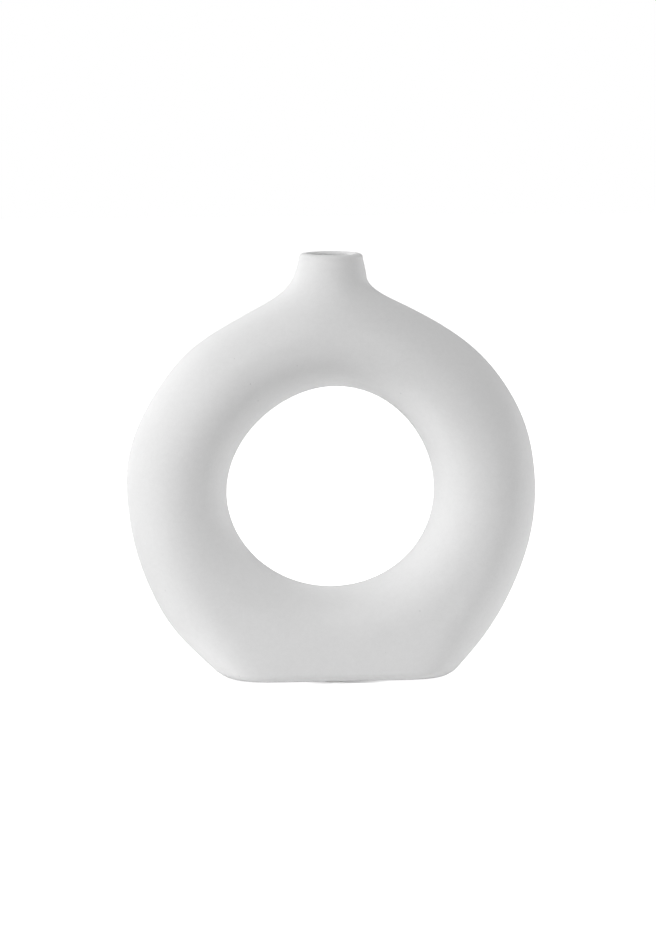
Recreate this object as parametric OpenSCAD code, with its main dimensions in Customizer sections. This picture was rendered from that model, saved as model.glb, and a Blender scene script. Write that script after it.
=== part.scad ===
// Donut vase: a flattened hollow ring of matte white bisque with a short round neck and a flat foot.
// The body is cast in a front and a back half that meet on the plane y = 0, a neck ring closes the
// opening in its shoulders, a floor slab closes it below, and four thin round pads stand under the floor.
// Millimetres, +Z up, front towards -Y, origin on the table under the middle of the vase.

/* [Body] */
// Height of the ceramic, from the underside of its foot to the crest of its lip
body_h = 209; // [196:1:222]
// Half of the width across the ring
half_w = 101; // [94:1:108]
// Half of the depth from front to back, where the body is fullest
half_d = 30; // [27:0.5:34]
// Thickness of the fired clay wall
wall = 4.5; // [3.5:0.25:5.5]
// Thickness of the floor slab
floor_t = 6; // [5.5:0.5:8]

/* [Hole] */
// Mean radius of the hole through the ring
hole_r = 50.5; // [47:0.5:55]
// Height of the hole's centre above the foot
hole_h = 93.4; // [90:0.5:98]

/* [Neck] */
// Height of the neck ring above its joint with the shoulders
neck_h = 8; // [7:0.25:9]
// Radius that the neck tapers to at the lip
neck_r = 15; // [14:0.1:16.5]
// How much wider the neck gets further down
neck_flare = 4.7; // [3:0.1:5]
// Height over which the flare comes in
neck_ease = 14; // [12:0.5:16]
// Radius of the bore that takes the stems
bore_r = 11.1; // [9.9:0.1:11.9]
// Width of the rounding from the bore up to the lip's crest
lip_in = 1.5; // [0.8:0.1:2]
// Height of the rounding from the crest down to the outside of the neck
lip_h = 2.7; // [2:0.1:3.4]
// Height of the taper that opens the bore to the hollow body
throat_h = 1.5; // [1:0.25:2.5]

/* [Shoulders] */
// Reach of the hollow curve between neck and shoulders, seen from the front
shoulder_ease = 12.5; // [10:0.5:12.5]
// Reach of the same curve, seen from the side
side_ease = 12; // [9:0.5:12]

/* [Foot] */
// Radius of the foot's bottom edge
edge_r = 4; // [1.5:0.25:5]
// Height over which the squarer section of the foot turns into that of the ring
foot_rise = 24; // [16:1:30]
// Radius of each pad
pad_r = 5; // [4:0.25:6]
// Thickness of each pad
pad_t = 1; // [0.8:0.1:1.6]
// Distance that the pads keep from the edge of the foot
pad_inset = 1.5; // [1:0.25:3]

/* [Hidden] */

// Half widths as shares of half_w, at equal steps of height. The second stands at the foot and the last
// but one at the lip. A smooth curve runs close to them, and the vase leans a little, as the real one does.
left_shares = [0.36, 0.522, 0.764, 0.879, 0.958, 0.993, 1.006, 0.948, 0.826, 0.664, 0.229, -0.037, -0.46];
right_shares = [0.391, 0.591, 0.783, 0.894, 0.974, 1.01, 1.003, 0.961, 0.849, 0.667, 0.284, -0.24, -0.51];
// Half depths as shares of half_d, at the same heights
depth_shares = [0.66, 0.76, 0.87, 0.945, 0.985, 1, 1, 1, 0.985, 0.93, 0.72, -0.2, -0.9];
// Radii of the hand-finished hole as shares of hole_r, at equal turns from the right end, over the top
hole_shares = [1.022, 0.995, 1.002, 0.999, 0.963, 0.984, 1.035, 1.01, 0.977, 0.971, 1.002, 1.037];
// Fullness of the ring's section and of the lip: 2 is an ellipse, and more is squarer
hole_side_power = 2.2;
outer_side_power = 2.1;
foot_power = 4.5;
round_power = 2;
lip_power = 2.9;

bisque = [0.93, 0.93, 0.92];
pad_colour = [0.86, 0.86, 0.84];
// Length over which slopes of the outline are taken
slope_step = 0.5;
// Height under the neck joint over which the section turns into the neck's circle
round_off_h = 30;
// Softness of the limit on the ring's half thickness, where the outline gets narrow
limb_ease = 6;

// Numbers of points: along the joint with the neck, up each side, along the foot, and across the ring
joint_steps = 16;
side_steps = 38;
foot_steps = 18;
ring_steps = 10;
// The last angle of the side's spacing, which is closest at the shoulders
side_sweep = 150;
edge_rings = 8;
lip_steps = 8;
neck_steps = 5;
turn_steps = 96;

joint_z = body_h - neck_h;
limb_half = (half_w - hole_r) / 2;
height_steps = len(left_shares) - 3;

// Smooth curve close to the control values c, where t counts their steps
function curve(c, t) =
    let (i = max(min(floor(t), len(c) - 4), 0))
    let (f = t - i)
    ((1 - f) ^ 3 * c[i] + (3 * f ^ 3 - 6 * f ^ 2 + 4) * c[i + 1]
        + (1 + 3 * f + 3 * f ^ 2 - 3 * f ^ 3) * c[i + 2] + f ^ 3 * c[i + 3]) / 6;

// The larger of a and b, with a hollow curve where they come within reach of each other
function soft_max(a, b, reach) =
    let (near = max(reach - abs(a - b), 0) / reach)
    max(a, b) + near ^ 2 * reach / 4;

function soft_min(a, b, reach) = -soft_max(-a, -b, reach);

function share_of(a, b, t) = a + (b - a) * max(min(t, 1), 0);

function neck_radius(z) = neck_r + neck_flare * (1 - exp((z - body_h) / neck_ease));

// Outline before the foot's edge is rounded: half width on the side of x
function full_width(z, x) =
    let (shares = x < 0 ? left_shares : right_shares)
    soft_max(half_w * curve(shares, height_steps * z / body_h), neck_radius(z), shoulder_ease);

// How far the rounded edge of the foot draws in at height z
function tuck(z) = z < edge_r ? edge_r - sqrt(edge_r ^ 2 - (edge_r - z) ^ 2) : 0;

function half_width(z, x) = full_width(z, x) - tuck(z);

function half_depth(z) =
    soft_max(half_d * curve(depth_shares, height_steps * z / body_h), neck_radius(z), side_ease);

// Cosine of the outline's slope, which turns a level distance to the outline into a square one
function outline_cos(z, x) =
    let (slope = (full_width(z + slope_step, x) - full_width(z - slope_step, x)) / (2 * slope_step))
    1 / sqrt(1 + slope ^ 2);

function hole_radius(angle) =
    let (count = len(hole_shares))
    let (t = count * (angle + 360) / 360)
    let (near = [for (i = [-1:2]) hole_shares[(floor(t) + i) % count]])
    hole_r * curve(near, t - floor(t));

// Fullness of the section's outer side: squarer at the foot, and round where it turns into the neck
function outer_power(z) =
    z < foot_rise
        ? share_of(foot_power, outer_side_power, z / foot_rise)
        : share_of(outer_side_power, round_power, (z - joint_z + round_off_h) / round_off_h);

// Distance of the surface from the plane y = 0 at x and z. An inset of one wall gives the hollow inside.
function surface_depth(x, z, inset) =
    let (cosine = outline_cos(z, x))
    let (from_hole = norm([x, z - hole_h]) - hole_radius(atan2(z - hole_h, x)) - inset)
    let (from_outline = (half_width(z, x) - abs(x)) * cosine - inset)
    let (reach = soft_min(limb_half, full_width(z, x) * cosine, limb_ease) - inset)
    let (hole_side = 1 - (1 - share_of(0, 1, from_hole / (limb_half - inset))) ^ hole_side_power)
    let (outer_side = 1 - (1 - share_of(0, 1, from_outline / reach)) ^ outer_power(z))
    (half_depth(z) - tuck(z) - inset) * sqrt(hole_side * outer_side);

// Places, as [x, z], where the rays across the ring end: over the joint with the neck from left to right,
// down the right side, along the floor and up the left side
function side_height(i) =
    let (low = cos(side_sweep))
    floor_t + (joint_z - floor_t) * (cos(side_sweep * i / side_steps) - low) / (1 - low);

function side_end(i, side, inset) =
    let (z = side_height(i))
    [side * (half_width(z, side) - inset / outline_cos(z, side)), z];

function ray_ends(inset) =
    let (joint_r = neck_radius(joint_z) - inset)
    let (right = side_end(side_steps, 1, inset)[0])
    let (left = side_end(side_steps, -1, inset)[0])
    concat(
        [for (i = [0:joint_steps]) [-joint_r * cos(180 * i / joint_steps), joint_z]],
        [for (i = [1:side_steps]) side_end(i, 1, inset)],
        [for (i = [1:foot_steps - 1]) [right + (left - right) * (1 - cos(180 * i / foot_steps)) / 2, floor_t]],
        [for (i = [side_steps:-1:1]) side_end(i, -1, inset)]);

rays = joint_steps + 2 * side_steps + foot_steps;

// Rays that end on the plane where the halves meet
function on_seam(j) =
    j == 0 || j > joint_steps + side_steps + foot_steps - 1 || (j >= joint_steps && j <= joint_steps + side_steps);

function ray_point(end, j, k, side, inset) =
    let (angle = atan2(end[1] - hole_h, end[0]))
    let (start_r = hole_radius(angle) + inset)
    let (start = [start_r * cos(angle), hole_h + start_r * sin(angle)])
    let (at = start + (end - start) * (1 - cos(180 * k / ring_steps)) / 2)
    let (flat = k == 0 || (k == ring_steps && on_seam(j)))
    [at[0], flat ? 0 : side * surface_depth(at[0], at[1], inset), at[1]];

// The outer skin's points, then the inner skin's
function shell_points(side) =
    [for (inset = [0, wall])
        let (ends = ray_ends(inset))
        for (j = [0:rays - 1], k = [0:ring_steps]) ray_point(ends[j], j, k, side, inset)];

function at(skin, j, k) = (skin * rays + j % rays) * (ring_steps + 1) + k;

function pair(a, b, c, d) = [[a, b, c], [a, c, d]];

function turned(faces, turn) = [for (f = faces) turn ? [f[2], f[1], f[0]] : f];

function shell_faces() =
    let (last = ring_steps)
    [for (j = [0:rays - 1]) each concat(
        [for (k = [0:last - 1]) each pair(at(0, j, k), at(0, j, k + 1), at(0, j + 1, k + 1), at(0, j + 1, k))],
        [for (k = [0:last - 1]) each pair(at(1, j, k), at(1, j + 1, k), at(1, j + 1, k + 1), at(1, j, k + 1))],
        pair(at(0, j, last), at(1, j, last), at(1, j + 1, last), at(0, j + 1, last)),
        pair(at(0, j + 1, 0), at(1, j + 1, 0), at(1, j, 0), at(0, j, 0)))];

module shell(side) {
    color(bisque)
        translate([0, 0, pad_t])
            polyhedron(shell_points(side), turned(shell_faces(), side > 0));
}

module front_shell() {
    shell(-1);
}

module back_shell() {
    shell(1);
}

module neck() {
    joint_r = neck_radius(joint_z);
    crest_r = bore_r + lip_in;
    lip_z = body_h - lip_h;
    lip_w = neck_radius(lip_z) - crest_r;
    color(bisque)
        translate([0, 0, pad_t])
            rotate_extrude($fn = turn_steps)
                polygon(concat(
                    [[bore_r, joint_z + throat_h], [joint_r - wall, joint_z]],
                    [for (i = [0:neck_steps])
                        let (z = joint_z + (lip_z - joint_z) * i / neck_steps)
                        [neck_radius(z), z]],
                    [for (i = [1:lip_steps])
                        let (a = 90 * i / lip_steps)
                        let (out = cos(a) ^ (2 / lip_power), up = sin(a) ^ (2 / lip_power))
                        [crest_r + lip_w * out, lip_z + lip_h * up]],
                    [for (i = [1:lip_steps])
                        let (a = 90 * i / lip_steps)
                        [crest_r - lip_in * sin(a), body_h - lip_in * (1 - cos(a))]]));
}

// Points round the floor slab at height z: along the front from left to right, then back behind
function foot_ring(z) =
    let (left = -half_width(z, -1))
    let (right = half_width(z, 1))
    let (xs = [for (i = [0:foot_steps]) left + (right - left) * (1 - cos(180 * i / foot_steps)) / 2])
    concat(
        [[left, 0, z]],
        [for (i = [1:foot_steps - 1]) [xs[i], -surface_depth(xs[i], z, 0), z]],
        [[right, 0, z]],
        [for (i = [foot_steps - 1:-1:1]) [xs[i], surface_depth(xs[i], z, 0), z]]);

module base() {
    count = 2 * foot_steps;
    points = [for (k = [edge_rings:-1:0]) each foot_ring(floor_t * (k / edge_rings) ^ 2)];
    sides = [for (k = [0:edge_rings - 1], i = [0:count - 1])
        let (n = (i + 1) % count)
        each pair(k * count + i, k * count + n, (k + 1) * count + n, (k + 1) * count + i)];
    top = [for (i = [count - 1:-1:0]) i];
    bottom = [for (i = [0:count - 1]) edge_rings * count + i];
    color(bisque)
        translate([0, 0, pad_t])
            polyhedron(points, concat(sides, [top, bottom]));
}

// A pad under the foot, drawn in from the foot's edge towards [x, y]
module pad(x, y) {
    keep = pad_inset + pad_r;
    color(pad_colour)
        translate([x - sign(x) * keep, y - sign(y) * keep, 0])
            cylinder(r = pad_r, h = pad_t, $fn = turn_steps);
}

module pad_left() {
    pad(-half_width(0, -1), 0);
}

module pad_right() {
    pad(half_width(0, 1), 0);
}

module pad_front() {
    pad(0, -surface_depth(0, 0, 0));
}

module pad_back() {
    pad(0, surface_depth(0, 0, 0));
}

front_shell();
back_shell();
neck();
base();
pad_left();
pad_right();
pad_front();
pad_back();
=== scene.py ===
"""Donut vase: a flattened hollow ring of matte white bisque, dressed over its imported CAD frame."""
import math

import bpy
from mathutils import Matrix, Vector


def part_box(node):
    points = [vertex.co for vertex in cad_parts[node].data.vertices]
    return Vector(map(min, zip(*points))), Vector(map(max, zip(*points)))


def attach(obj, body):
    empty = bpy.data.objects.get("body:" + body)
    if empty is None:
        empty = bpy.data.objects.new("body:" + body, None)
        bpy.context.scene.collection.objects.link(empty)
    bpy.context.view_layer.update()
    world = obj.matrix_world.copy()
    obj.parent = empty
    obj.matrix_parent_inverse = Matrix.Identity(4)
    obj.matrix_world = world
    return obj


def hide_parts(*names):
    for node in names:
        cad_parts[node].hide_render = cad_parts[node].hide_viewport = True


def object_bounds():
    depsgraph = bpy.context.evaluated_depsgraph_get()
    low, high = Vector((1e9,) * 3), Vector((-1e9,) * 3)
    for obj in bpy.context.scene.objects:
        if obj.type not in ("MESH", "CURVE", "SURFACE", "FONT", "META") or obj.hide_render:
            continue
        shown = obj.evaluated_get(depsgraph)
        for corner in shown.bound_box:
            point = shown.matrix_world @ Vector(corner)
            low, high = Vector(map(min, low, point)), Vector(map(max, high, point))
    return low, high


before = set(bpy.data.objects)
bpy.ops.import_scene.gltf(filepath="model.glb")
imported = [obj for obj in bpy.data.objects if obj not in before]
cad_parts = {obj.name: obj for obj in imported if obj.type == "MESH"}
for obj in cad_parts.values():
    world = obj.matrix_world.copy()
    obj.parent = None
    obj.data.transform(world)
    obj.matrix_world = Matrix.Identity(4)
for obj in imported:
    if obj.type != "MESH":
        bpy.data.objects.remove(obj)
cad_low, cad_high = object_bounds()
MM = 0.001


# Camera
# The photograph was taken with a long lens from a little above the mouth and a little left of the middle,
# so that the right end of the ring is the far one.
CAMERA_DISTANCE = 2.6
CAMERA_LEFT_OF_FRONT = math.radians(7)
MOUTH_ELEVATION = math.radians(4.7)
LENS_MM = 204.7
AIM_BESIDE = -1.34 * MM
AIM_BELOW_MIDDLE = 1.03 * MM

crest_z = cad_high[2]
eye = Vector((-math.sin(CAMERA_LEFT_OF_FRONT) * CAMERA_DISTANCE,
              -math.cos(CAMERA_LEFT_OF_FRONT) * CAMERA_DISTANCE,
              crest_z + CAMERA_DISTANCE * math.tan(MOUTH_ELEVATION)))
aim = Vector((AIM_BESIDE, 0, crest_z / 2 - AIM_BELOW_MIDDLE))
bpy.ops.object.camera_add(location=eye, rotation=(aim - eye).to_track_quat("-Z", "Y").to_euler())
camera = bpy.context.object
camera.name = "camera"
camera.data.lens = LENS_MM
bpy.context.scene.camera = camera
bpy.context.scene.view_settings.view_transform = "Standard"


# Front shell
# The front half of the hollow ring, cast in white clay 4.5 mm thick. It takes its outline and its depth
# from the same few sizes and shares as the CAD solid, and meets the back half on the plane y = 0.
HALF_W = 101 * MM
HALF_D = 30 * MM
WALL = 4.5 * MM
HOLE_R = 50.5 * MM
HOLE_H = 93.4 * MM
NECK_R = 15 * MM
NECK_FLARE = 4.7 * MM
NECK_EASE = 14 * MM
SHOULDER_EASE = 12.5 * MM
SIDE_EASE = 12 * MM
EDGE_R = 4 * MM
FOOT_RISE = 24 * MM
ROUND_OFF_H = 30 * MM
LIMB_EASE = 6 * MM
SLOPE_STEP = 0.5 * MM
LEFT_SHARES = (0.36, 0.522, 0.764, 0.879, 0.958, 0.993, 1.006, 0.948, 0.826, 0.664, 0.229, -0.037, -0.46)
RIGHT_SHARES = (0.391, 0.591, 0.783, 0.894, 0.974, 1.01, 1.003, 0.961, 0.849, 0.667, 0.284, -0.24, -0.51)
DEPTH_SHARES = (0.66, 0.76, 0.87, 0.945, 0.985, 1, 1, 1, 0.985, 0.93, 0.72, -0.2, -0.9)
HOLE_SHARES = (1.022, 0.995, 1.002, 0.999, 0.963, 0.984, 1.035, 1.01, 0.977, 0.971, 1.002, 1.037)
HOLE_SIDE_POWER, OUTER_SIDE_POWER, FOOT_POWER, ROUND_POWER = 2.2, 2.1, 4.5, 2
JOINT_STEPS, SIDE_STEPS, FOOT_STEPS, RING_STEPS = 40, 84, 46, 44
SIDE_SWEEP = math.radians(150)
BISQUE_COLOUR = (0.82, 0.82, 0.82, 1)
BISQUE_ROUGHNESS = 0.9
BISQUE_SPECULAR = 0.3
ROUGHNESS_CHANGE = 0.15
CLOUD_SIZE, CLOUD_SHADE = 22 * MM, 0.03
MOTTLE_SIZE, MOTTLE_SHADE = 2.4 * MM, 0.05
GRAIN_SIZE, GRAIN_SHADE, GRAIN_DEPTH = 0.9 * MM, 0.05, 0.03 * MM
SAND_SIZE, SAND_DEPTH = 0.35 * MM, 0.015 * MM
SPONGE_SIZE, SPONGE_DEPTH = 9 * MM, 0.08 * MM
SPECK_GAP, SPECK_R, SPECK_SHADE = 9 * MM, 0.3 * MM, 0.2
GLAZE_COLOUR = (0.8, 0.8, 0.79, 1)
GLAZE_ROUGHNESS = 0.2
GLAZE_CHANGE = 0.1

foot_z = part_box("base")[0][2]
floor_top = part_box("base")[1][2] - foot_z
joint_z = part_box("neck")[0][2] - foot_z
body_h = crest_z - foot_z
limb_half = (HALF_W - HOLE_R) / 2
height_steps = len(DEPTH_SHARES) - 3


def curve(c, t):
    """The smooth curve close to the shares c, where t counts their steps."""
    i = max(min(math.floor(t), len(c) - 4), 0)
    f = t - i
    return ((1 - f) ** 3 * c[i] + (3 * f ** 3 - 6 * f ** 2 + 4) * c[i + 1]
            + (1 + 3 * f + 3 * f ** 2 - 3 * f ** 3) * c[i + 2] + f ** 3 * c[i + 3]) / 6


def soft_max(a, b, reach):
    """The larger of a and b, with a hollow curve where they come within reach of each other."""
    near = max(reach - abs(a - b), 0) / reach
    return max(a, b) + near ** 2 * reach / 4


def between(a, b, t):
    return a + (b - a) * max(min(t, 1), 0)


def neck_radius(z):
    return NECK_R + NECK_FLARE * (1 - math.exp((z - body_h) / NECK_EASE))


def full_width(z, x):
    """Half of the width on the side of x, before the foot's edge is wiped round."""
    shares = LEFT_SHARES if x < 0 else RIGHT_SHARES
    return soft_max(HALF_W * curve(shares, height_steps * z / body_h), neck_radius(z), SHOULDER_EASE)


def tuck(z):
    """How far the foot's rounded edge draws in at height z."""
    return EDGE_R - math.sqrt(EDGE_R ** 2 - (EDGE_R - z) ** 2) if z < EDGE_R else 0


def half_width(z, x):
    return full_width(z, x) - tuck(z)


def half_depth(z):
    return soft_max(HALF_D * curve(DEPTH_SHARES, height_steps * z / body_h), neck_radius(z), SIDE_EASE)


def outline_cos(z, x):
    """Turns a level distance to the outline into a square one."""
    slope = (full_width(z + SLOPE_STEP, x) - full_width(z - SLOPE_STEP, x)) / (2 * SLOPE_STEP)
    return 1 / math.hypot(1, slope)


def hole_radius(angle):
    count = len(HOLE_SHARES)
    t = angle / (2 * math.pi) * count
    near = [HOLE_SHARES[(math.floor(t) + i) % count] for i in range(-1, 3)]
    return HOLE_R * curve(near, t - math.floor(t))


def outer_power(z):
    if z < FOOT_RISE:
        return between(FOOT_POWER, OUTER_SIDE_POWER, z / FOOT_RISE)
    return between(OUTER_SIDE_POWER, ROUND_POWER, (z - joint_z + ROUND_OFF_H) / ROUND_OFF_H)


def surface_depth(x, z, inset):
    """How far the skin stands off the joint y = 0. An inset of one wall gives the hollow."""
    cosine = outline_cos(z, x)
    from_hole = math.hypot(x, z - HOLE_H) - hole_radius(math.atan2(z - HOLE_H, x)) - inset
    from_outline = (half_width(z, x) - abs(x)) * cosine - inset
    reach = -soft_max(-limb_half, -full_width(z, x) * cosine, LIMB_EASE) - inset
    hole_side = 1 - (1 - between(0, 1, from_hole / (limb_half - inset))) ** HOLE_SIDE_POWER
    outer_side = 1 - (1 - between(0, 1, from_outline / reach)) ** outer_power(z)
    return (half_depth(z) - tuck(z) - inset) * math.sqrt(hole_side * outer_side)


def side_end(i, side, inset):
    low = math.cos(SIDE_SWEEP)
    z = floor_top + (joint_z - floor_top) * (math.cos(SIDE_SWEEP * i / SIDE_STEPS) - low) / (1 - low)
    return side * (half_width(z, side) - inset / outline_cos(z, side)), z, True


def spaced(start, end, i, steps):
    """A place from start to end with its steps closest together at both ends."""
    return start + (end - start) * (1 - math.cos(math.pi * i / steps)) / 2


def ray_ends(inset):
    """Where the rays across the ring end, as x, z and whether the halves meet there."""
    joint_r = neck_radius(joint_z) - inset
    right, left = side_end(SIDE_STEPS, 1, inset)[0], side_end(SIDE_STEPS, -1, inset)[0]
    over_joint = [(-joint_r * math.cos(math.pi * i / JOINT_STEPS), joint_z, i in (0, JOINT_STEPS))
                  for i in range(JOINT_STEPS + 1)]
    return (over_joint
            + [side_end(i, 1, inset) for i in range(1, SIDE_STEPS + 1)]
            + [(spaced(right, left, i, FOOT_STEPS), floor_top, False) for i in range(1, FOOT_STEPS)]
            + [side_end(i, -1, inset) for i in range(SIDE_STEPS, 0, -1)])


def skin_point(end, step, inset):
    end_x, end_z, on_seam = end
    angle = math.atan2(end_z - HOLE_H, end_x)
    start_r = hole_radius(angle) + inset
    x = spaced(start_r * math.cos(angle), end_x, step, RING_STEPS)
    z = spaced(HOLE_H + start_r * math.sin(angle), end_z, step, RING_STEPS)
    flat = step == 0 or (step == RING_STEPS and on_seam)
    return Vector((x, 0 if flat else -surface_depth(x, z, inset), z + foot_z))


CREASE = math.radians(40)


def deselect():
    bpy.ops.object.select_all(action="DESELECT")


class Shade:
    """A socket among one material's nodes. Arithmetic on it adds Math nodes."""

    def __init__(self, tree, socket=None):
        self.tree = tree
        self.socket = socket

    def node(self, kind, settings=(), values=(), out=0):
        made = self.tree.nodes.new(kind)
        for name, value in dict(settings).items():
            setattr(made, name, value)
        for name, value in dict(values).items():
            if isinstance(value, Shade):
                self.tree.links.new(value.socket, made.inputs[name])
            else:
                made.inputs[name].default_value = value
        return Shade(self.tree, made.outputs[out] if made.outputs else None)

    def maths(self, operation, a, b):
        return self.node("ShaderNodeMath", {"operation": operation}, {0: a, 1: b})

    def __add__(self, other):
        return self.maths("ADD", self, other)

    def __mul__(self, other):
        return self.maths("MULTIPLY", self, other)

    def __sub__(self, other):
        return self.maths("SUBTRACT", self, other)

    def __rsub__(self, other):
        return self.maths("SUBTRACT", other, self)

    __radd__ = __add__
    __rmul__ = __mul__


def new_material(name):
    """An empty material, as the start of its nodes."""
    material = bpy.data.materials.new(name)
    material.use_nodes = True
    material.node_tree.nodes.clear()
    return material, Shade(material.node_tree)


def patches(start, place, size):
    """Soft random patches about as wide as size, from -0.5 to 0.5."""
    return start.node("ShaderNodeTexNoise", {}, {"Vector": place, "Scale": 1 / size}) - 0.5


def bumped(start, relief):
    """The slope of a surface that carries a fine relief."""
    return start.node("ShaderNodeBump", {}, {"Strength": 1, "Distance": 1, "Height": relief})


def shaded(start, colour, shade):
    """The colour times a grey shade that changes over the surface."""
    return start.node("ShaderNodeMix", {"data_type": "RGBA", "blend_type": "MULTIPLY"},
                      {0: 1, 6: colour, 7: shade}, out=2)


bisque, start = new_material("bisque")
place = start.node("ShaderNodeTexCoord", out="Object")
grain = patches(start, place, GRAIN_SIZE)
cells = start.node("ShaderNodeTexVoronoi", {}, {"Vector": place, "Scale": 1 / SPECK_GAP})
specks = cells.maths("LESS_THAN", cells, SPECK_R / SPECK_GAP)
shade = (1 + CLOUD_SHADE * patches(start, place, CLOUD_SIZE)
         + MOTTLE_SHADE * patches(start, place, MOTTLE_SIZE)
         + GRAIN_SHADE * grain - SPECK_SHADE * specks)
relief = (SPONGE_DEPTH * patches(start, place, SPONGE_SIZE) + GRAIN_DEPTH * grain
          + SAND_DEPTH * patches(start, place, SAND_SIZE))
surface = start.node("ShaderNodeBsdfPrincipled", {}, {
    "Base Color": shaded(start, BISQUE_COLOUR, shade),
    "Roughness": BISQUE_ROUGHNESS + ROUGHNESS_CHANGE * grain,
    "Normal": bumped(start, relief),
    "Specular IOR Level": BISQUE_SPECULAR})
start.node("ShaderNodeOutputMaterial", {}, {"Surface": surface})

glaze, start = new_material("inside_glaze")
place = start.node("ShaderNodeTexCoord", out="Object")
pooled = patches(start, place, SPONGE_SIZE)
surface = start.node("ShaderNodeBsdfPrincipled", {}, {
    "Base Color": shaded(start, GLAZE_COLOUR, 1 + CLOUD_SHADE * patches(start, place, CLOUD_SIZE)),
    "Roughness": GLAZE_ROUGHNESS + GLAZE_CHANGE * pooled,
    "Normal": bumped(start, SPONGE_DEPTH * pooled)})
start.node("ShaderNodeOutputMaterial", {}, {"Surface": surface})


def dress(piece, node, glazed):
    """Bisque all over, with glaze on the faces that glazed picks, which face the hollow."""
    for face in piece.data.polygons:
        face.material_index = int(glazed(face))
    piece.data.materials.clear()
    piece.data.materials.append(bisque)
    piece.data.materials.append(glaze)
    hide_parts(node)
    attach(piece, "root")


deselect()
outer_ends, inner_ends = ray_ends(0), ray_ends(WALL)
section = 2 * (RING_STEPS + 1)
bpy.ops.mesh.primitive_torus_add(major_segments=len(outer_ends), minor_segments=section)
front_shell = bpy.context.object
front_shell.name = "front_shell_skin"
# The torus counts its vertices section by section, here out along the outer skin and back along the inner.
for vertex in front_shell.data.vertices:
    ray, step = divmod(vertex.index, section)
    if step <= RING_STEPS:
        vertex.co = skin_point(outer_ends[ray], step, 0)
    else:
        vertex.co = skin_point(inner_ends[ray], section - 1 - step, WALL)
bpy.ops.object.mode_set(mode="EDIT")
bpy.ops.mesh.select_all(action="SELECT")
bpy.ops.mesh.normals_make_consistent(inside=False)
bpy.ops.object.mode_set(mode="OBJECT")
bpy.ops.object.shade_smooth_by_angle(angle=CREASE)
dress(front_shell, "front_shell", lambda face: all(i % section > RING_STEPS for i in face.vertices))


# Back shell
# The back half from the same mould, turned to the other side of the joint.
deselect()
back_shell = bpy.data.objects.new("back_shell_skin", front_shell.data.copy())
bpy.context.collection.objects.link(back_shell)
back_shell.select_set(True)
bpy.context.view_layer.objects.active = back_shell
bpy.ops.object.mode_set(mode="EDIT")
bpy.ops.mesh.select_all(action="SELECT")
bpy.ops.transform.resize(value=(1, -1, 1), center_override=(0, 0, 0))
bpy.ops.mesh.normals_make_consistent(inside=False)
bpy.ops.object.mode_set(mode="OBJECT")
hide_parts("back_shell")
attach(back_shell, "root")


# Neck
# A short round ring of the same clay, thrown or cast by itself and luted onto the shoulders. Its bore takes
# the stems, and its lip is rolled over with a wet sponge.
BORE_R = 11.1 * MM
LIP_IN = 1.5 * MM
LIP_H = 2.7 * MM
LIP_POWER = 2.9
THROAT_H = 1.5 * MM
NECK_STEPS, LIP_STEPS = 12, 16
INWARD = -0.5
MERGE = 0.001 * MM

crest_r = BORE_R + LIP_IN
lip_z = body_h - LIP_H
lip_w = neck_radius(lip_z) - crest_r
neck_rings = [(BORE_R, body_h - LIP_IN), (BORE_R, joint_z + THROAT_H), (neck_radius(joint_z) - WALL, joint_z)]
for i in range(NECK_STEPS + 1):
    z = joint_z + (lip_z - joint_z) * i / NECK_STEPS
    neck_rings.append((neck_radius(z), z))
for i in range(1, LIP_STEPS + 1):
    a = math.pi / 2 * i / LIP_STEPS
    neck_rings.append((crest_r + lip_w * max(math.cos(a), 0) ** (2 / LIP_POWER),
                       lip_z + LIP_H * math.sin(a) ** (2 / LIP_POWER)))
for i in range(1, LIP_STEPS + 1):
    a = math.pi / 2 * i / LIP_STEPS
    neck_rings.append((crest_r - LIP_IN * math.sin(a), body_h - LIP_IN * (1 - math.cos(a))))


def finish_edit():
    """Closes the mesh, turns its faces outwards and puts its place into the mesh."""
    bpy.ops.mesh.select_all(action="SELECT")
    bpy.ops.mesh.remove_doubles(threshold=MERGE)
    bpy.ops.mesh.normals_make_consistent(inside=False)
    bpy.ops.object.mode_set(mode="OBJECT")
    bpy.ops.object.transform_apply(location=True, rotation=True, scale=True)
    bpy.ops.object.shade_smooth_by_angle(angle=CREASE)


deselect()
start_r, start_z = neck_rings[0]
bpy.ops.mesh.primitive_circle_add(vertices=2 * JOINT_STEPS, radius=start_r, location=(0, 0, start_z + foot_z))
neck = bpy.context.object
neck.name = "neck_skin"
bpy.ops.object.mode_set(mode="EDIT")
for (r, z), (next_r, next_z) in zip(neck_rings, neck_rings[1:]):
    bpy.ops.mesh.extrude_region_move(TRANSFORM_OT_translate={"value": (0, 0, next_z - z)})
    bpy.ops.transform.resize(value=(next_r / r, next_r / r, 1), center_override=(0, 0, next_z + foot_z))
finish_edit()


def faces_bore(face):
    return face.normal.dot(Vector((face.center.x, face.center.y, 0)).normalized()) < INWARD


dress(neck, "neck", faces_bore)


# Base
# The floor slab, cut from a sheet of clay and luted under the ring to close the hollow. Its bottom edge is
# wiped round with a wet sponge.
EDGE_RINGS = 14
LAST_POLE = EDGE_RINGS + 2
UPWARD = 0.99

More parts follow.
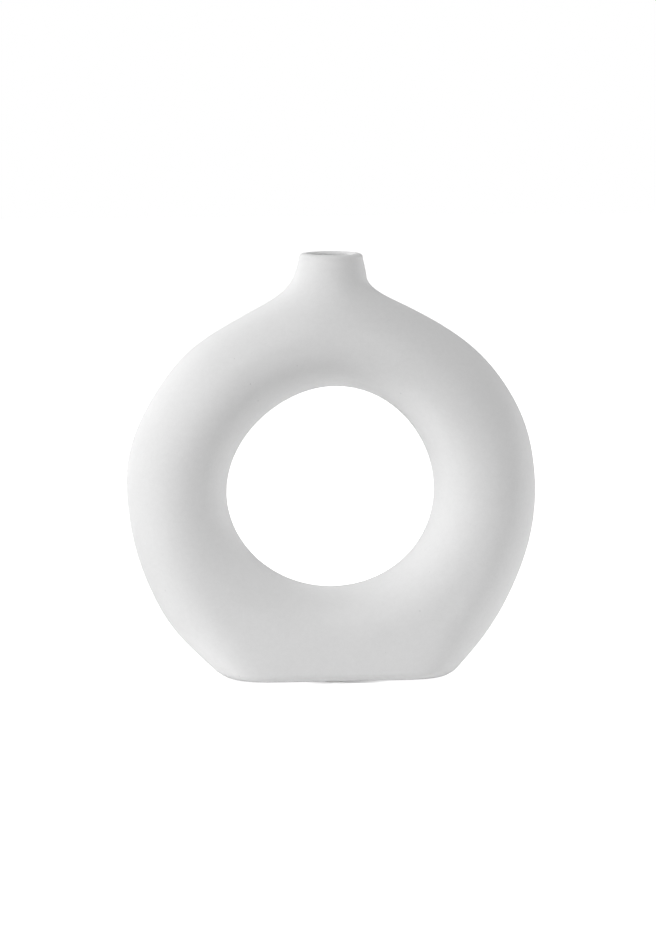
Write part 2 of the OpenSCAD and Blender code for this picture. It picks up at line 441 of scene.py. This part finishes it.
deselect()
bpy.ops.mesh.primitive_uv_sphere_add(segments=2 * FOOT_STEPS, ring_count=LAST_POLE, radius=1)
base = bpy.context.object
base.name = "base_skin"
for vertex in base.data.vertices:
    x, y, z = vertex.co
    ring = round(math.acos(max(min(z, 1), -1)) / math.pi * LAST_POLE)
    height = floor_top * between(0, 1, (LAST_POLE - 1 - ring) / EDGE_RINGS) ** 2
    left, right = -half_width(height, -1), half_width(height, 1)
    if ring in (0, LAST_POLE):
        vertex.co = ((left + right) / 2, 0, height + foot_z)
    else:
        turn = math.atan2(y, x)
        across = (left + right) / 2 + (right - left) / 2 * math.cos(turn)
        vertex.co = (across, math.copysign(surface_depth(across, height, 0), y), height + foot_z)
bpy.ops.object.mode_set(mode="EDIT")
finish_edit()
dress(base, "base", lambda face: face.normal.z > UPWARD)


# Luted joints
# The four sections are stuck together with slip, sponged over and fired as one piece, so no joint shows.
# Along the joints each section takes the slope of the whole skin.
body = (front_shell, back_shell, neck, base)
Y, Z = 1, 2
joints = ((Y, 0), (Z, joint_z + foot_z), (Z, floor_top + foot_z))


def on_joint(point):
    return any(abs(point[axis] - level) < MERGE for axis, level in joints)


def joint_face(mesh, face):
    corners = [mesh.vertices[i].co for i in face.vertices]
    return any(all(abs(c[axis] - level) < MERGE for c in corners) for axis, level in joints)


deselect()
for piece in body:
    piece.select_set(True)
bpy.context.view_layer.objects.active = front_shell
bpy.ops.object.duplicate()
bpy.ops.object.join()
whole = bpy.context.object
for face in whole.data.polygons:
    face.select = joint_face(whole.data, face)
bpy.ops.object.mode_set(mode="EDIT")
bpy.ops.mesh.select_mode(type="FACE")
bpy.ops.mesh.delete(type="FACE")
bpy.ops.mesh.select_all(action="SELECT")
bpy.ops.mesh.remove_doubles(threshold=MERGE)
bpy.ops.object.mode_set(mode="OBJECT")
bpy.ops.object.shade_smooth_by_angle(angle=CREASE)
for piece in body:
    group = piece.vertex_groups.new(name="joint")
    group.add([vertex.index for vertex in piece.data.vertices if on_joint(vertex.co)], 1, "REPLACE")
    transfer = piece.modifiers.new("joint", "DATA_TRANSFER")
    transfer.object = whole
    transfer.use_loop_data = True
    transfer.data_types_loops = {"CUSTOM_NORMAL"}
    transfer.loop_mapping = "NEAREST_POLYNOR"
    transfer.vertex_group = group.name
    deselect()
    piece.select_set(True)
    bpy.context.view_layer.objects.active = piece
    bpy.ops.object.modifier_apply(modifier=transfer.name)
bpy.data.objects.remove(whole)


# Pads
# Four round pads of pale foam, punched from a sheet and stuck under the foot. They keep the rough clay off
# the table, and hold the foot a millimetre clear of it.
PAD_STEPS = 64
PAD_EDGE, PAD_EDGE_STEPS = 0.25 * MM, 3
FOAM_COLOUR = (0.88, 0.88, 0.86, 1)
FOAM_ROUGHNESS = 0.85
FOAM_CELL, FOAM_SHADE, FOAM_DEPTH = 0.3 * MM, 0.1, 0.04 * MM

foam, start = new_material("foam")
place = start.node("ShaderNodeTexCoord", out="Object")
cells = start.node("ShaderNodeTexVoronoi", {}, {"Vector": place, "Scale": 1 / FOAM_CELL}) - 0.5
surface = start.node("ShaderNodeBsdfPrincipled", {}, {
    "Base Color": shaded(start, FOAM_COLOUR, 1 + FOAM_SHADE * cells),
    "Roughness": FOAM_ROUGHNESS,
    "Normal": bumped(start, FOAM_DEPTH * cells)})
start.node("ShaderNodeOutputMaterial", {}, {"Surface": surface})

for node in ("pad_left", "pad_right", "pad_front", "pad_back"):
    low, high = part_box(node)
    middle = (low + high) / 2
    deselect()
    bpy.ops.mesh.primitive_cylinder_add(vertices=PAD_STEPS, radius=(high.x - low.x) / 2, depth=high.z - low.z,
                                        location=middle)
    pad = bpy.context.object
    pad.name = node + "_disc"
    bpy.ops.object.transform_apply(location=True, rotation=True, scale=True)
    edge = pad.modifiers.new("edge", "BEVEL")
    edge.width = PAD_EDGE
    edge.segments = PAD_EDGE_STEPS
    bpy.ops.object.modifier_apply(modifier=edge.name)
    bpy.ops.object.shade_smooth_by_angle(angle=CREASE)
    pad.data.materials.append(foam)
    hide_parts(node)
    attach(pad, "root")


# Floor and backdrop
# White paper. For the vase it gives off a soft painted glow under the right of the vase, painted weaker where
# the vase covers it and stronger at the front pad. The camera sees it as plain white, and close to the foot
# darkened by a painted shadow of the vase, on both sides of the pale front pad, in front of which it is
# painted pale.
FLOOR_SIZE = 6
PAPER_COLOUR = (0.85, 0.85, 0.85, 1)
GLOW_MIDDLE = (100 * MM, 0, 0)
GLOW_R, GLOW, COVER_REACH = 0.2, 0.325, 90 * MM
SHADOW_MIDDLE = (6 * MM, -17 * MM, 0)
SHADOW_R, SHADOW_REACH = 20 * MM, 3.3 * MM
SHADOW_SHADE, SHADOW_ENDS = 0.68, 0.05
PAINTED_PAD_LIGHT_MIDDLE, PAINTED_PAD_LIGHT_R, PAINTED_PAD_GLOW = (0, -17 * MM, 0), 5 * MM, 2

deselect()
bpy.ops.mesh.primitive_plane_add(size=FLOOR_SIZE, location=(0, 0, 0))
floor = bpy.context.object
floor.name = "floor"
paper, start = new_material("paper")
place = start.node("ShaderNodeTexCoord", out="Object")


def away_from(middle):
    """How far a place on the paper lies from the middle of a patch."""
    return start.node("ShaderNodeVectorMath", {"operation": "DISTANCE"}, {0: place, 1: middle}, out="Value")


# Painted shadow for the camera: the paper is painted darker where open sky is cut off close to the foot, most
# in a patch at the front middle of the foot.
open_sky = start.node("ShaderNodeAmbientOcclusion", {}, {"Distance": SHADOW_REACH}, out="AO")
off_middle = away_from(SHADOW_MIDDLE) * (1 / SHADOW_R)
# In front of the front pad the painted shadow is left out, and the painted glow is raised to light the pad,
# so both look pale.
off_pad = start.maths("MINIMUM", away_from(PAINTED_PAD_LIGHT_MIDDLE) * (1 / PAINTED_PAD_LIGHT_R), 1)
near = off_pad * start.maths("MAXIMUM", 1 - off_middle * off_middle, 0)
# Painted glow that lights the vase from below, painted weaker where the vase covers the paper.
uncovered = start.node("ShaderNodeAmbientOcclusion", {}, {"Distance": COVER_REACH}, out="AO")
share = start.maths("MAXIMUM", uncovered, PAINTED_PAD_GLOW * (1 - off_pad))
glow = share * (GLOW * start.maths("LESS_THAN", away_from(GLOW_MIDDLE), GLOW_R))
seen = start.node("ShaderNodeLightPath", out="Is Camera Ray")
white = 1 - (SHADOW_ENDS + (SHADOW_SHADE - SHADOW_ENDS) * near) * (1 - open_sky)
sheet = start.node("ShaderNodeBsdfDiffuse", {}, {"Color": PAPER_COLOUR})
light = start.node("ShaderNodeEmission", {}, {"Strength": 1, "Color": glow + seen * (white - glow)})
surface = start.node("ShaderNodeAddShader", {}, {0: sheet, 1: light})
start.node("ShaderNodeOutputMaterial", {}, {"Surface": surface})
floor.data.materials.append(paper)


# Light
# Two narrow windows to the left, and wider and weaker ones to the right and behind, in a white room. The
# camera sees its walls as plain white.
LAMP_DISTANCE = 1.6
NARROW, WIDE = 0.3, 0.8
WALL_LIGHT = 0.18


def soft_light(name, azimuth, elevation, size, power):
    """A square lamp that faces the vase, with azimuth 0 in front and 90 degrees to the left."""
    azimuth, elevation = math.radians(azimuth), math.radians(elevation)
    away = Vector((-math.sin(azimuth) * math.cos(elevation), -math.cos(azimuth) * math.cos(elevation),
                   math.sin(elevation)))
    bpy.ops.object.light_add(type="AREA", location=Vector((0, 0, crest_z / 2)) + LAMP_DISTANCE * away,
                             rotation=away.to_track_quat("Z", "Y").to_euler())
    lamp = bpy.context.object
    lamp.name = name
    lamp.data.shape = "SQUARE"
    lamp.data.size = size
    lamp.data.energy = power


soft_light("left_window", azimuth=60, elevation=35, size=NARROW, power=9.9)
soft_light("left_side", azimuth=80, elevation=10, size=NARROW, power=5.5)
soft_light("right_high", azimuth=-45, elevation=60, size=WIDE, power=3.9)
soft_light("right_side", azimuth=-75, elevation=20, size=WIDE, power=3.8)
soft_light("right_behind", azimuth=-120, elevation=0, size=WIDE, power=7.6)
soft_light("left_behind", azimuth=150, elevation=30, size=WIDE, power=9.4)

world = bpy.data.worlds.new("walls")
bpy.context.scene.world = world
world.use_nodes = True
world.node_tree.nodes.clear()
start = Shade(world.node_tree)
seen = start.node("ShaderNodeLightPath", out="Is Camera Ray")
walls = start.node("ShaderNodeBackground", {}, {"Strength": 1, "Color": WALL_LIGHT + (1 - WALL_LIGHT) * seen})
start.node("ShaderNodeOutputWorld", {}, {"Surface": walls})
